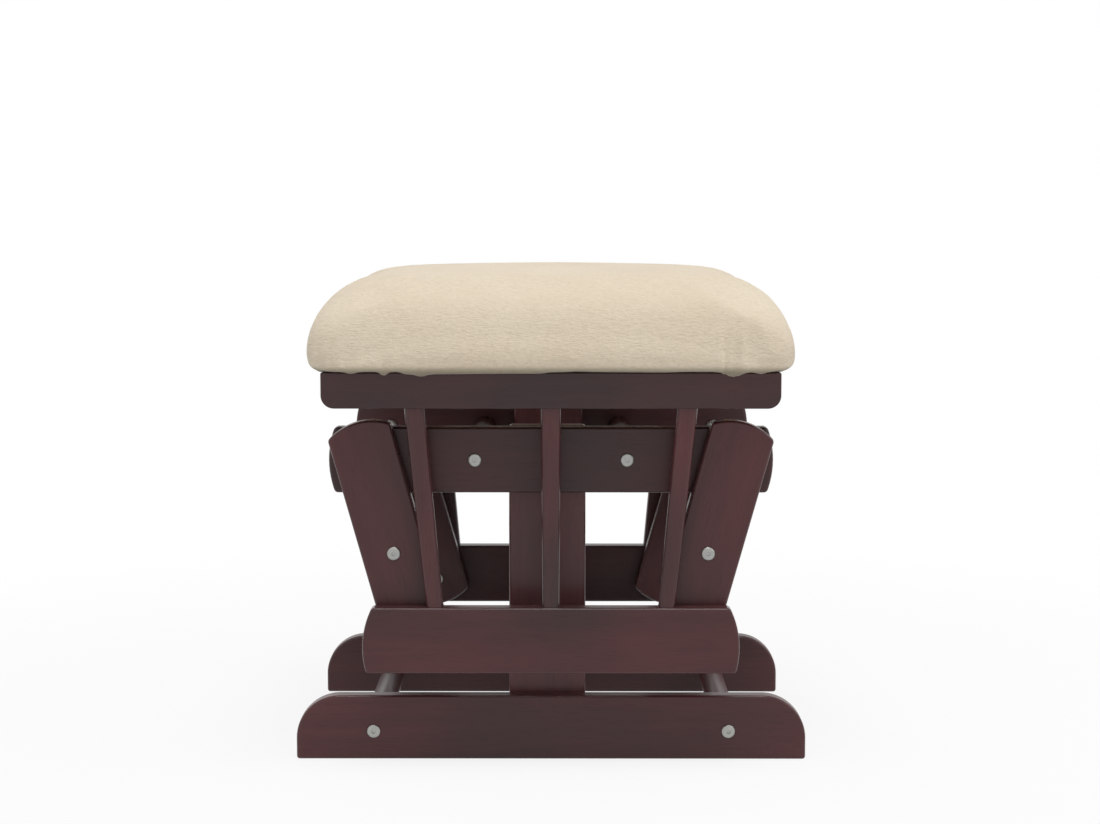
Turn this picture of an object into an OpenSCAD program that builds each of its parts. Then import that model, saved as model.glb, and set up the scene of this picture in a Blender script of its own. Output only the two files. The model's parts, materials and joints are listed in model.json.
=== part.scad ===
// Glider ottoman: a padded seat on a slatted frame that hangs by four slanted arms from a floor
// stand. Millimetres, +Z up, +X the way that the seat glides, origin on the floor under the middle.
// The right side is -Y, the left side +Y, the front end +X and the rear end -X.

/* [Overall] */
// Width over the two sides of the seat frame
seat_width = 380; // [340:1:440]
// Thickness of the boards
board_t = 18; // [16:0.5:22]
// Gap between boards that swing past each other
board_gap = 1.75; // [1.75:0.05:3]

/* [Floor stand] */
// Length of a floor rail
stand_length = 480; // [440:1:540]
// Height of a floor rail
floor_rail_h = 61; // [50:0.5:66]
// Radius of a floor rail's upper corners
floor_rail_corner_r = 41; // [20:1:48]
// Width of a post
post_width = 72; // [60:1:80]
// Distance that the posts stand off the middle, towards the front end
post_offset = -3.5; // [-8:0.5:8]
// Height of the crossbeams' upper edge above the floor
beam_top = 315; // [304:1:318]
// Height of a crossbeam board
beam_h = 61.5; // [52:0.5:64]
// Length of a crossbeam over its bulged ends
beam_length = 414; // [396:1:430]
// Radius of a crossbeam's bulged ends
beam_end_r = 88; // [44:1:100]
// Diameter of the round stretchers
stretcher_d = 24; // [20:0.5:28]
// Distance from a floor rail's end to its stretcher
lower_stretcher_inset = 73; // [60:1:110]
// Height of the lower stretchers' axis above the floor
lower_stretcher_z = 27; // [22:0.5:34]
// Distance from a crossbeam's end to its stretcher
upper_stretcher_inset = 136; // [112:1:146]

/* [Swing arms] */
// Width of an arm
arm_width = 60; // [50:1:66]
// Distance from a crossbeam's end to its pivot
top_pivot_inset = 37; // [32:0.5:46]
// Distance from a crossbeam's upper edge down to its pivot
top_pivot_drop = 28; // [22:0.5:32]
// Straight length of an arm above its top pivot
arm_top_reach = 26.5; // [16:0.5:28]
// Straight length of an arm below its lower pivot
arm_low_reach = 18; // [14:0.5:26]
// Rise of an arm's crowned ends
arm_crown = 9; // [4:0.5:14]
// Distance from the top pivot to the tie, along the arm
tie_drop = 91; // [80:0.5:100]
// Diameter of the round ties
tie_d = 24; // [20:0.5:28]
// Largest swing of the arms to either side, in degrees
swing_angle = 24; // [12:1:24]

/* [Seat frame] */
// Height of the lower rails' upper edge above the floor
lower_rail_top = 152; // [140:0.5:160]
// Height of a lower rail board
lower_rail_h = 61.5; // [56:0.5:68]
// Length of a lower rail over its bulged ends
lower_rail_length = 348; // [330:1:366]
// Radius of a lower rail's bulged ends
lower_rail_end_r = 84; // [44:1:100]
// Depth of the bulge's widest point below the upper edge
lower_rail_crest = 38; // [26:0.5:40]
// Distance from a lower rail's end to its pivot
low_pivot_inset = 51; // [44:0.5:60]
// Distance from a lower rail's upper edge down to its pivot
low_pivot_drop = 33; // [28:0.5:36]
// Height of the top rails' upper edge above the floor
top_rail_top = 369; // [366:1:384]
// Height of a top rail board
top_rail_h = 33; // [30:0.5:38]
// Length of a top rail
top_rail_length = 420; // [400:1:440]
// Radius of a top rail's lower corners
top_rail_corner_r = 12; // [4:0.5:16]
// Width of a spindle at its foot, seen from the side of the ottoman
spindle_foot_w = 15.5; // [12:0.5:18]
// Width of a spindle at its top, seen from the side of the ottoman
spindle_top_w = 18.5; // [14:0.5:22]
// Depth of a spindle, within the thickness of the rails
spindle_t = 14; // [13:0.5:14.5]
// Distance of the outer spindles from the middle, at the top
spindle_top_x = 125; // [110:1:140]
// Distance of the outer spindles from the middle, at the foot
spindle_foot_x = 107; // [90:1:115]
// Diameter of the round tenons on the spindles
tenon_d = 9; // [7:0.5:10]
// Length of the round tenons on the spindles
tenon_len = 12; // [8:0.5:14]
// Thickness of the seat panel
panel_t = 9; // [6:0.5:10]
// Length of the seat panel
panel_length = 400; // [385:1:412]
// Distance from the ends of the seat panel to the middle of the cross rails
cross_rail_inset = 50; // [35:1:70]

/* [Cushion] */
// Length of the cushion at its widest
cushion_length = 448; // [430:1:462]
// Width of the cushion at its widest
cushion_width = 392; // [388:1:450]
// Height of the cushion's crown above the frame
cushion_h = 94; // [70:1:110]
// Height of the cushion's widest line above the frame
cushion_belly_z = 21; // [14:1:28]
// Distance that the cushion is drawn in at its hem
cushion_hem_inset = 11; // [4:0.5:16]
// Distance that the cushion's sides are drawn in between its corners
cushion_draw_in = 3; // [0:0.5:6]
// Radius of the cushion's corners up to its widest line, seen from above
cushion_corner_r = 26; // [16:1:60]
// Radius of the cushion's corners at its crown, seen from above
crown_corner_r = 72; // [30:1:90]

/* [Hardware] */
// Diameter of the bolts
bolt_d = 6; // [5:0.5:6.5]
// Diameter of the bolt heads
head_d = 12.8; // [11:0.1:14]
// Height of the bolt heads
head_h = 2.4; // [2:0.1:2.8]
// Height of the straight rim of a bolt head
head_rim = 1; // [0.6:0.1:1.4]
// Width across flats of the socket in a bolt head
socket_af = 4; // [3:0.5:4.5]
// Depth of the socket in a bolt head
socket_depth = 1.5; // [1:0.1:1.8]
// Chamfer at a bolt's tip
tip_chamfer = 0.8; // [0.4:0.1:1]
// Outer diameter of the threaded inserts
insert_d = 10; // [9:0.5:11]
// Length of the threaded inserts
insert_len = 13; // [10:0.5:13.5]
// Outer diameter of the bushes
bush_d = 10; // [9:0.5:11]
// Diameter of a bush's flange
flange_d = 18; // [14:0.5:20]
// Thickness of a bush's flange
flange_t = 1.5; // [1:0.05:1.5]
// Diameter of the dowels in the posts
post_dowel_d = 8; // [6:0.5:10]
// Length of the dowels in the posts
post_dowel_len = 24; // [18:1:28]
// Distance of the dowels in the posts from a post's middle
post_dowel_x = 20; // [14:1:24]
// Diameter of the dowels in the cross rails
rail_dowel_d = 6; // [5:0.5:7]
// Length of the dowels in the cross rails
rail_dowel_len = 24; // [18:1:28]
// Diameter of the panel screws
screw_d = 4; // [3.5:0.5:5]
// Diameter of the panel screws' heads
screw_head_d = 8; // [7:0.5:9]
// Height of the panel screws' heads
screw_head_h = 2.4; // [2:0.1:3]
// Length of the panel screws
screw_len = 28; // [22:1:30]

/* [Clearances] */
// Radial clearance of a bolt in its bush
running_fit = 0.05; // [0.02:0.01:0.1]
// Radial clearance of a piece that is seated in a bore
seated_fit = 0.05; // [0.02:0.01:0.1]
// Depth that a blind bore has to spare
bore_spare = 0.5; // [0.2:0.1:1]
// Axial play at a pivot
play = 0.25; // [0.1:0.05:0.25]
// Gap between the panel and the top rails
panel_gap = 0.3; // [0.2:0.1:1]
// Gap between the cushion and the frame
soft_gap = 0.3; // [0.2:0.1:0.5]
// Room to spare round the open pivot
open_pivot_spare = 1; // [0.5:0.1:2]

/* [Hidden] */
$fn = 64;

wood = "#4f3839";
hidden_wood = "#c9a878";
zinc = "#a5aaa6";
nylon = "#e4e0d6";
steel = "#8c8f92";
fabric = "#e5dac5";

// Signs of the sides and the ends
right_side = -1;
left_side = 1;
sides = [right_side, left_side];
front_end = 1;
rear_end = -1;
ends = [rear_end, front_end];

// Faces of the boards, as distances from the middle plane
seat_out = seat_width / 2;
seat_in = seat_out - board_t;
arm_out = seat_in - board_gap;
arm_in = arm_out - board_t;
stand_out = arm_in - board_gap;
stand_in = stand_out - board_t;
post_in = stand_in - board_t;

// The linkage, seen from the side: pivots, length and lean of the arms
top_pivot = [beam_length / 2 - top_pivot_inset, beam_top - top_pivot_drop];
low_pivot = [lower_rail_length / 2 - low_pivot_inset, lower_rail_top - low_pivot_drop];
arm_reach = norm(top_pivot - low_pivot);
arm_lean = atan2(top_pivot[0] - low_pivot[0], top_pivot[1] - low_pivot[1]);
tie_place = [
    top_pivot[0] - tie_drop * sin(arm_lean),
    top_pivot[1] - tie_drop * cos(arm_lean)
];
arm_crown_r = (arm_width * arm_width / 4 + arm_crown * arm_crown) / (2 * arm_crown);

// The seat tilts by this share of the arms' swing, and the front arms swing as the rear ones do.
// The true linkage departs a little from both, so the front lower pivots stand in round pockets.
seat_tilt_share = (top_pivot[0] - low_pivot[0]) / low_pivot[0];
function turned(v, a) = [v[0] * cos(a) - v[1] * sin(a), v[0] * sin(a) + v[1] * cos(a)];
function rear_low_pivot(a) =
    [-top_pivot[0], top_pivot[1]]
    + turned([top_pivot[0] - low_pivot[0], low_pivot[1] - top_pivot[1]], a);
function seat_front_pivot(a) =
    rear_low_pivot(a) + turned([2 * low_pivot[0], 0], -seat_tilt_share * a);
function arm_front_pivot(a) = top_pivot + turned(low_pivot - top_pivot, a);
function open_pivot_shift(a) = norm(seat_front_pivot(a) - arm_front_pivot(a));
open_pivot_r = bolt_d / 2 + open_pivot_spare
    + max(open_pivot_shift(swing_angle), open_pivot_shift(-swing_angle));

lower_stretcher_x = stand_length / 2 - lower_stretcher_inset;
upper_stretcher_x = beam_length / 2 - upper_stretcher_inset;
beam_mid_z = beam_top - beam_h / 2;
beam_crest = beam_h / 2;
corner_r = min(floor_rail_corner_r, floor_rail_h);
insert_bore_d = bolt_d + 2 * running_fit;
bush_bore_d = bolt_d + 2 * running_fit;
tip_gap = bore_spare * 2;
head_dome = head_h - head_rim;
head_dome_r = (head_d * head_d / 4 + head_dome * head_dome) / (2 * head_dome);
socket_d = socket_af / cos(30);

// Lengths of the bolts under their heads
frame_bolt_len = board_t + insert_len - tip_gap;
pivot_bolt_len = play + board_t + board_gap + insert_len - tip_gap;
insert_depth = insert_len + bore_spare;
pocket_depth = insert_depth;

spindle_len = top_rail_top - top_rail_h - lower_rail_top;
spindle_lean = atan2(spindle_top_x - spindle_foot_x, spindle_len);
spindle_y = seat_out - board_t / 2;
cross_rail_h = top_rail_h - panel_t;
cross_rail_x = panel_length / 2 - cross_rail_inset;
cross_rail_z = top_rail_top - top_rail_h;
rail_dowel_zs = [cross_rail_z + cross_rail_h / 4, cross_rail_z + cross_rail_h * 3 / 4];
panel_width = 2 * (seat_in - panel_gap);
screw_ys = [-panel_width / 3, 0, panel_width / 3];
cushion_base_z = top_rail_top + soft_gap;
overrun = board_t / 4;

// Placing: x and z from the side view, y as a distance from the middle plane on either side
module outward(side, x, y, z) {
    translate([x, side * y, z]) rotate([-90 * side, 0, 0]) children();
}

module inward(side, x, y, z) {
    translate([x, side * y, z]) rotate([90 * side, 0, 0]) children();
}

// A board that stands on edge along X, from a side view outline, its inner face at y_in
module board(side, y_in, t) {
    translate([0, side > 0 ? y_in + t : -y_in, 0])
        rotate([90, 0, 0]) linear_extrude(t) children();
}

// A through or blind bore, square to the boards, from y_from out to y_to
module bore(side, x, z, y_from, y_to, d) {
    outward(side, x, y_from, z) cylinder(h = y_to - y_from, d = d);
}

// Outlines, seen from the side
module floor_rail_outline() {
    half = stand_length / 2;
    translate([-half, 0]) square([stand_length, floor_rail_h - corner_r]);
    translate([corner_r - half, 0]) square([stand_length - 2 * corner_r, floor_rail_h]);
    intersection() {
        translate([-half, 0]) square([stand_length, floor_rail_h]);
        for (end = ends) {
            translate([end * (half - corner_r), floor_rail_h - corner_r]) circle(corner_r);
        }
    }
}

module bulged_outline(length, height, top, end_r, crest) {
    intersection() {
        translate([-length / 2, top - height]) square([length, height]);
        union() {
            translate([end_r - length / 2, top - height]) square([length - 2 * end_r, height]);
            for (end = ends) {
                translate([end * (length / 2 - end_r), top - crest]) circle(end_r);
            }
        }
    }
}

module top_rail_outline() {
    bottom = top_rail_top - top_rail_h;
    half = top_rail_length / 2;
    r = top_rail_corner_r;
    translate([-half, bottom + r]) square([top_rail_length, top_rail_h - r]);
    translate([r - half, bottom]) square([top_rail_length - 2 * r, top_rail_h]);
    for (end = ends) {
        translate([end * (half - r), bottom + r]) circle(r);
    }
}

// A crowned end over the line y = 0, as wide as an arm
module crowned_end() {
    intersection() {
        translate([0, arm_crown - arm_crown_r]) circle(arm_crown_r);
        translate([-arm_width / 2, -arm_crown]) square([arm_width, 2 * arm_crown]);
    }
}

module arm_outline(end) {
    translate([end * top_pivot[0], top_pivot[1]]) rotate(-end * arm_lean) {
        translate([-arm_width / 2, -arm_reach - arm_low_reach])
            square([arm_width, arm_reach + arm_low_reach + arm_top_reach]);
        translate([0, arm_top_reach]) crowned_end();
        translate([0, -arm_reach - arm_low_reach]) mirror([0, 1]) crowned_end();
    }
}

// Hardware, along +Z from the face that a head bears on
module bolt(length) {
    difference() {
        union() {
            intersection() {
                translate([0, 0, -head_h]) cylinder(h = head_h, d = head_d);
                translate([0, 0, head_dome_r - head_h]) sphere(head_dome_r);
            }
            cylinder(h = length - tip_chamfer, d = bolt_d);
            translate([0, 0, length - tip_chamfer])
                cylinder(h = tip_chamfer, d1 = bolt_d, d2 = bolt_d - 2 * tip_chamfer);
        }
        translate([0, 0, -head_h - overrun])
            cylinder(h = overrun + socket_depth, d = socket_d, $fn = 6);
    }
}

module insert() {
    difference() {
        cylinder(h = insert_len, d = insert_d);
        translate([0, 0, -overrun]) cylinder(h = insert_len + 2 * overrun, d = insert_bore_d);
    }
}

// A flanged bush that fills a board, with its flange on the far face
module bush() {
    difference() {
        union() {
            cylinder(h = board_t, d = bush_d);
            translate([0, 0, board_t]) cylinder(h = flange_t, d = flange_d);
        }
        translate([0, 0, -overrun])
            cylinder(h = board_t + flange_t + 2 * overrun, d = bush_bore_d);
    }
}

// Floor stand
module floor_rail(side) {
    color(wood) difference() {
        board(side, stand_in, board_t) floor_rail_outline();
        for (end = ends) {
            bore(side, end * lower_stretcher_x, lower_stretcher_z, stand_in - overrun,
                stand_out + overrun, bolt_d + 2 * seated_fit);
            bore(side, post_offset + end * post_dowel_x, floor_rail_h / 2, stand_in - overrun,
                stand_in + post_dowel_len / 2 + bore_spare, post_dowel_d + 2 * seated_fit);
        }
    }
}

module post(side) {
    color(wood) difference() {
        board(side, post_in, board_t)
            translate([post_offset - post_width / 2, 0]) square([post_width, beam_top]);
        for (end = ends, z = [floor_rail_h / 2, beam_mid_z]) {
            bore(side, post_offset + end * post_dowel_x, z,
                stand_in - post_dowel_len / 2 - bore_spare, stand_in + overrun,
                post_dowel_d + 2 * seated_fit);
        }
    }
}

module post_dowels(side) {
    color(hidden_wood) for (end = ends, z = [floor_rail_h / 2, beam_mid_z]) {
        bore(side, post_offset + end * post_dowel_x, z, stand_in - post_dowel_len / 2,
            stand_in + post_dowel_len / 2, post_dowel_d);
    }
}

module crossbeam(side) {
    color(wood) difference() {
        board(side, stand_in, board_t)
            bulged_outline(beam_length, beam_h, beam_top, beam_end_r, beam_crest);
        for (end = ends) {
            bore(side, end * upper_stretcher_x, beam_mid_z, stand_in - overrun,
                stand_out + overrun, bolt_d + 2 * seated_fit);
            bore(side, end * top_pivot[0], top_pivot[1], stand_in - overrun,
                stand_out + overrun, bush_d + 2 * seated_fit);
            bore(side, post_offset + end * post_dowel_x, beam_mid_z, stand_in - overrun,
                stand_in + post_dowel_len / 2 + bore_spare, post_dowel_d + 2 * seated_fit);
        }
    }
}

// A round bar between two boards, with a bore for an insert in each end
module round_bar(x, z, reach, d) {
    difference() {
        translate([x, reach, z]) rotate([90, 0, 0]) cylinder(h = 2 * reach, d = d);
        for (side = sides) {
            bore(side, x, z, reach - insert_depth, reach + overrun, insert_d + 2 * seated_fit);
        }
    }
}

module lower_stretcher(end) {
    color(wood) round_bar(end * lower_stretcher_x, lower_stretcher_z, stand_in, stretcher_d);
}

module upper_stretcher(end) {
    color(wood) round_bar(end * upper_stretcher_x, beam_mid_z, stand_in, stretcher_d);
}

module floor_rail_bolts() {
    color(zinc) for (side = sides, end = ends) {
        inward(side, end * lower_stretcher_x, stand_out, lower_stretcher_z)
            bolt(frame_bolt_len);
    }
}

module crossbeam_bolts() {
    color(zinc) for (side = sides, end = ends) {
        inward(side, end * upper_stretcher_x, stand_out, beam_mid_z) bolt(frame_bolt_len);
    }
}

module stretcher_inserts() {
    color(steel) for (side = sides, end = ends) {
        inward(side, end * lower_stretcher_x, stand_in, lower_stretcher_z) insert();
        inward(side, end * upper_stretcher_x, stand_in, beam_mid_z) insert();
    }
}

module crossbeam_bushes() {
    color(nylon) for (side = sides, end = ends) {
        outward(side, end * top_pivot[0], stand_in, top_pivot[1]) bush();
    }
}

// Swing arms
module arm(side, end) {
    color(wood) difference() {
        board(side, arm_in, board_t) arm_outline(end);
        bore(side, end * top_pivot[0], top_pivot[1], arm_in - overrun,
            arm_in + insert_depth, insert_d + 2 * seated_fit);
        bore(side, end * tie_place[0], tie_place[1], arm_in - overrun,
            arm_out + overrun, bolt_d + 2 * seated_fit);
        bore(side, end * low_pivot[0], low_pivot[1], arm_in - overrun,
            arm_out + overrun, bush_d + 2 * seated_fit);
    }
}

module arm_tie(end) {
    color(wood) round_bar(end * tie_place[0], tie_place[1], arm_in, tie_d);
}

module tie_bolts(end) {
    color(zinc) for (side = sides) {
        inward(side, end * tie_place[0], arm_out, tie_place[1]) bolt(frame_bolt_len);
    }
}

module tie_inserts(end) {
    color(steel) for (side = sides) {
        inward(side, end * tie_place[0], arm_in, tie_place[1]) insert();
    }
}

module hanger_bolts(end) {
    color(zinc) for (side = sides) {
        outward(side, end * top_pivot[0], stand_in - play, top_pivot[1]) bolt(pivot_bolt_len);
    }
}

module hanger_inserts(end) {
    color(steel) for (side = sides) {
        outward(side, end * top_pivot[0], arm_in, top_pivot[1]) insert();
    }
}

module arm_bushes(end) {
    color(nylon) for (side = sides) {
        outward(side, end * low_pivot[0], arm_in, low_pivot[1]) bush();
    }
}

module rail_bolts(end) {
    color(zinc) for (side = sides) {
        outward(side, end * low_pivot[0], arm_in - play, low_pivot[1]) bolt(pivot_bolt_len);
    }
}

// Seat frame
module spindle_place(side, place) {
    x_foot = place * spindle_foot_x;
    translate([x_foot, side * spindle_y, lower_rail_top])
        rotate([0, place * spindle_lean, 0]) children();
}

// The round tenon holes of one side's rails
module tenon_holes(side) {
    for (place = [rear_end, 0, front_end]) {
        length = place == 0 ? spindle_len : spindle_len / cos(spindle_lean);
        spindle_place(side, place) {
            translate([0, 0, -tenon_len - bore_spare])
                cylinder(h = length + 2 * (tenon_len + bore_spare),
                    d = tenon_d + 2 * seated_fit);
        }
    }
}

// A tapered slat between the rails, seen from the side
module spindle_outline(place) {
    foot = place * spindle_foot_x;
    top = place * spindle_top_x;
    polygon([
        [foot - spindle_foot_w / 2, lower_rail_top],
        [foot + spindle_foot_w / 2, lower_rail_top],
        [top + spindle_top_w / 2, lower_rail_top + spindle_len],
        [top - spindle_top_w / 2, lower_rail_top + spindle_len]
    ]);
}

module spindle(side, place) {
    length = spindle_len / cos(place * spindle_lean);
    color(wood) union() {
        translate([0, side * spindle_y + spindle_t / 2, 0])
            rotate([90, 0, 0]) linear_extrude(spindle_t) spindle_outline(place);
        spindle_place(side, place)
            translate([0, 0, -tenon_len])
                cylinder(h = length + 2 * tenon_len, d = tenon_d);
    }
}

module lower_rail(side) {
    color(wood) difference() {
        board(side, seat_in, board_t)
            bulged_outline(lower_rail_length, lower_rail_h, lower_rail_top,
                lower_rail_end_r, lower_rail_crest);
        tenon_holes(side);
        bore(side, rear_end * low_pivot[0], low_pivot[1], seat_in - overrun,
            seat_in + insert_depth, insert_d + 2 * seated_fit);
        bore(side, front_end * low_pivot[0], low_pivot[1], seat_in - overrun,
            seat_in + pocket_depth, 2 * open_pivot_r);
    }
}

module top_rail(side) {
    color(wood) difference() {
        board(side, seat_in, board_t) top_rail_outline();
        tenon_holes(side);
        for (end = ends, z = rail_dowel_zs) {
            bore(side, end * cross_rail_x, z, seat_in - overrun,
                seat_in + rail_dowel_len / 2 + bore_spare, rail_dowel_d + 2 * seated_fit);
        }
    }
}

module cross_rail(end) {
    color(wood) difference() {
        translate([end * cross_rail_x - board_t / 2, -seat_in, cross_rail_z])
            cube([board_t, 2 * seat_in, cross_rail_h]);
        for (side = sides, z = rail_dowel_zs) {
            bore(side, end * cross_rail_x, z, seat_in - rail_dowel_len / 2 - bore_spare,
                seat_in + overrun, rail_dowel_d + 2 * seated_fit);
        }
        for (y = screw_ys) {
            translate([end * cross_rail_x, y, top_rail_top - screw_len - bore_spare])
                cylinder(h = screw_len + overrun, d = screw_d + 2 * seated_fit);
        }
    }
}

module cross_rail_dowels() {
    color(hidden_wood) for (side = sides, end = ends, z = rail_dowel_zs) {
        bore(side, end * cross_rail_x, z, seat_in - rail_dowel_len / 2,
            seat_in + rail_dowel_len / 2, rail_dowel_d);
    }
}

// A countersunk screw, its flat head on z = 0 and wider all over by fit
module screw(fit) {
    translate([0, 0, -screw_head_h])
        cylinder(h = screw_head_h, d1 = screw_d + 2 * fit, d2 = screw_head_d + 2 * fit);
    translate([0, 0, -screw_len - fit])
        cylinder(h = screw_len + fit - screw_head_h, d = screw_d + 2 * fit);
}

module panel_screws() {
    color(zinc) for (end = ends, y = screw_ys) {
        translate([end * cross_rail_x, y, top_rail_top]) screw(0);
    }
}

module seat_panel() {
    color(hidden_wood) difference() {
        translate([-panel_length / 2, -panel_width / 2, top_rail_top - panel_t])
            cube([panel_length, panel_width, panel_t]);
        for (end = ends, y = screw_ys) {
            translate([end * cross_rail_x, y, top_rail_top]) screw(seated_fit);
        }
    }
}

// Cushion: rings of a rounded rectangle with drawn-in sides, from the hem out to the belly and
// over the crown to the middle. The corners grow rounder from the belly up to the crown.
corner_steps = 6;
side_steps = 4;
hem_steps = 4;
crown_dome = 0.127;
crown_dome_power = 1.22;
crown_power = 9.6;
crown_fullness = 0.715;
crown_ring_shares = [0.994, 0.98, 0.957, 0.925, 0.88, 0.81, 0.7, 0.5, 0.25];
corner_change = 0.15;

function corner_arc(centre, r, start) = [
    for (i = [0:corner_steps])
        centre + r * [cos(start + 90 * i / corner_steps), sin(start + 90 * i / corner_steps)]
];
function drawn_side(from, to, inward_dir) = [
    for (i = [1:side_steps - 1])
        let (u = 2 * i / side_steps - 1)
        from + (to - from) * i / side_steps + inward_dir * cushion_draw_in * (1 - u * u)
];
cushion_half = [cushion_length / 2, cushion_width / 2];
function cushion_outline(r) =
    let (h = cushion_half, c = cushion_half - [r, r])
    concat(
        corner_arc(c, r, 0),
        drawn_side([c[0], h[1]], [-c[0], h[1]], [0, -1]),
        corner_arc([-c[0], c[1]], r, 90),
        drawn_side([-h[0], c[1]], [-h[0], -c[1]], [1, 0]),
        corner_arc(-c, r, 180),
        drawn_side([-c[0], -h[1]], [c[0], -h[1]], [0, 1]),
        corner_arc([c[0], -c[1]], r, 270),
        drawn_side([h[0], -c[1]], [h[0], c[1]], [-1, 0])
    );
outline_count = len(cushion_outline(cushion_corner_r));
function ring(share, r, inset, z) = [
    for (p = cushion_outline(r))
        [p[0] * (share - inset / cushion_half[0]), p[1] * (share - inset / cushion_half[1]), z]
];
function eased_share(u) = u * u * (3 - 2 * u);
function ring_corner_r(share) =
    cushion_corner_r + (crown_corner_r - cushion_corner_r)
    * eased_share(min(1, (1 - share) / corner_change));
function crown_z(share) =
    cushion_base_z + cushion_belly_z + (cushion_h - cushion_belly_z)
    * (1 - crown_dome * pow(share, crown_dome_power))
    * pow(1 - pow(share, crown_power), crown_fullness);
cushion_points = concat(
    [[0, 0, cushion_base_z]],
    [
        for (i = [0:hem_steps])
            let (q = 90 * i / hem_steps)
            each ring(1, cushion_corner_r, cushion_hem_inset * (1 - sin(q)),
                cushion_base_z + cushion_belly_z * (1 - cos(q)))
    ],
    [
        for (share = crown_ring_shares)
            each ring(share, ring_corner_r(share), 0, crown_z(share))
    ],
    [[0, 0, cushion_base_z + cushion_h]]
);
ring_count = hem_steps + 1 + len(crown_ring_shares);
last_point = len(cushion_points) - 1;
function next_on_ring(i) = (i + 1) % outline_count;
cushion_faces = concat(
    [for (i = [0:outline_count - 1]) [0, 1 + i, 1 + next_on_ring(i)]],
    [
        for (r = [0:ring_count - 2], i = [0:outline_count - 1])
            let (
                low = 1 + r * outline_count,
                high = low + outline_count,
                j = next_on_ring(i)
            )
            each [[low + i, high + j, low + j], [low + i, high + i, high + j]]
    ],
    [
        for (i = [0:outline_count - 1])
            let (top = 1 + (ring_count - 1) * outline_count)
            [last_point, top + next_on_ring(i), top + i]
    ]
);

module cushion() {
    color(fabric) polyhedron(points = cushion_points, faces = cushion_faces);
}

// One module for each named piece
module right_floor_rail() floor_rail(right_side);
module left_floor_rail() floor_rail(left_side);
module right_post() post(right_side);
module left_post() post(left_side);
module right_crossbeam() crossbeam(right_side);
module left_crossbeam() crossbeam(left_side);
module front_lower_stretcher() lower_stretcher(front_end);
module rear_lower_stretcher() lower_stretcher(rear_end);
module front_upper_stretcher() upper_stretcher(front_end);
module rear_upper_stretcher() upper_stretcher(rear_end);
module right_post_dowels() post_dowels(right_side);
module left_post_dowels() post_dowels(left_side);
module right_rear_arm() arm(right_side, rear_end);
module left_rear_arm() arm(left_side, rear_end);
module rear_arm_tie() arm_tie(rear_end);
module rear_tie_bolts() tie_bolts(rear_end);
module rear_tie_inserts() tie_inserts(rear_end);
module rear_hanger_bolts() hanger_bolts(rear_end);
module rear_hanger_inserts() hanger_inserts(rear_end);
module rear_arm_bushes() arm_bushes(rear_end);
module right_front_arm() arm(right_side, front_end);
module left_front_arm() arm(left_side, front_end);
module front_arm_tie() arm_tie(front_end);
module front_tie_bolts() tie_bolts(front_end);
module front_tie_inserts() tie_inserts(front_end);
module front_hanger_bolts() hanger_bolts(front_end);
module front_hanger_inserts() hanger_inserts(front_end);
module front_arm_bushes() arm_bushes(front_end);
module front_rail_bolts() rail_bolts(front_end);
module right_lower_rail() lower_rail(right_side);
module left_lower_rail() lower_rail(left_side);
module right_top_rail() top_rail(right_side);
module left_top_rail() top_rail(left_side);
module right_rear_spindle() spindle(right_side, rear_end);
module right_middle_spindle() spindle(right_side, 0);
module right_front_spindle() spindle(right_side, front_end);
module left_rear_spindle() spindle(left_side, rear_end);
module left_middle_spindle() spindle(left_side, 0);
module left_front_spindle() spindle(left_side, front_end);
module front_cross_rail() cross_rail(front_end);
module rear_cross_rail() cross_rail(rear_end);
module rear_rail_bolts() rail_bolts(rear_end);
module rear_rail_inserts() {
    color(steel) for (side = sides) {
        outward(side, rear_end * low_pivot[0], seat_in, low_pivot[1]) insert();
    }
}

right_floor_rail();
left_floor_rail();
right_post();
left_post();
right_crossbeam();
left_crossbeam();
front_lower_stretcher();
rear_lower_stretcher();
front_upper_stretcher();
rear_upper_stretcher();
floor_rail_bolts();
crossbeam_bolts();
stretcher_inserts();
right_post_dowels();
left_post_dowels();
crossbeam_bushes();
right_rear_arm();
left_rear_arm();
rear_arm_tie();
rear_tie_bolts();
rear_tie_inserts();
rear_hanger_bolts();
rear_hanger_inserts();
rear_arm_bushes();
right_front_arm();
left_front_arm();
front_arm_tie();
front_tie_bolts();
front_tie_inserts();
front_hanger_bolts();
front_hanger_inserts();
front_arm_bushes();
front_rail_bolts();
right_lower_rail();
left_lower_rail();
right_top_rail();
left_top_rail();
right_rear_spindle();
right_middle_spindle();
right_front_spindle();
left_rear_spindle();
left_middle_spindle();
left_front_spindle();
front_cross_rail();
rear_cross_rail();
cross_rail_dowels();
seat_panel();
panel_screws();
rear_rail_bolts();
rear_rail_inserts();
cushion();
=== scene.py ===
import json
import math

import bmesh
import bpy
from mathutils import Matrix, Vector

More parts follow.
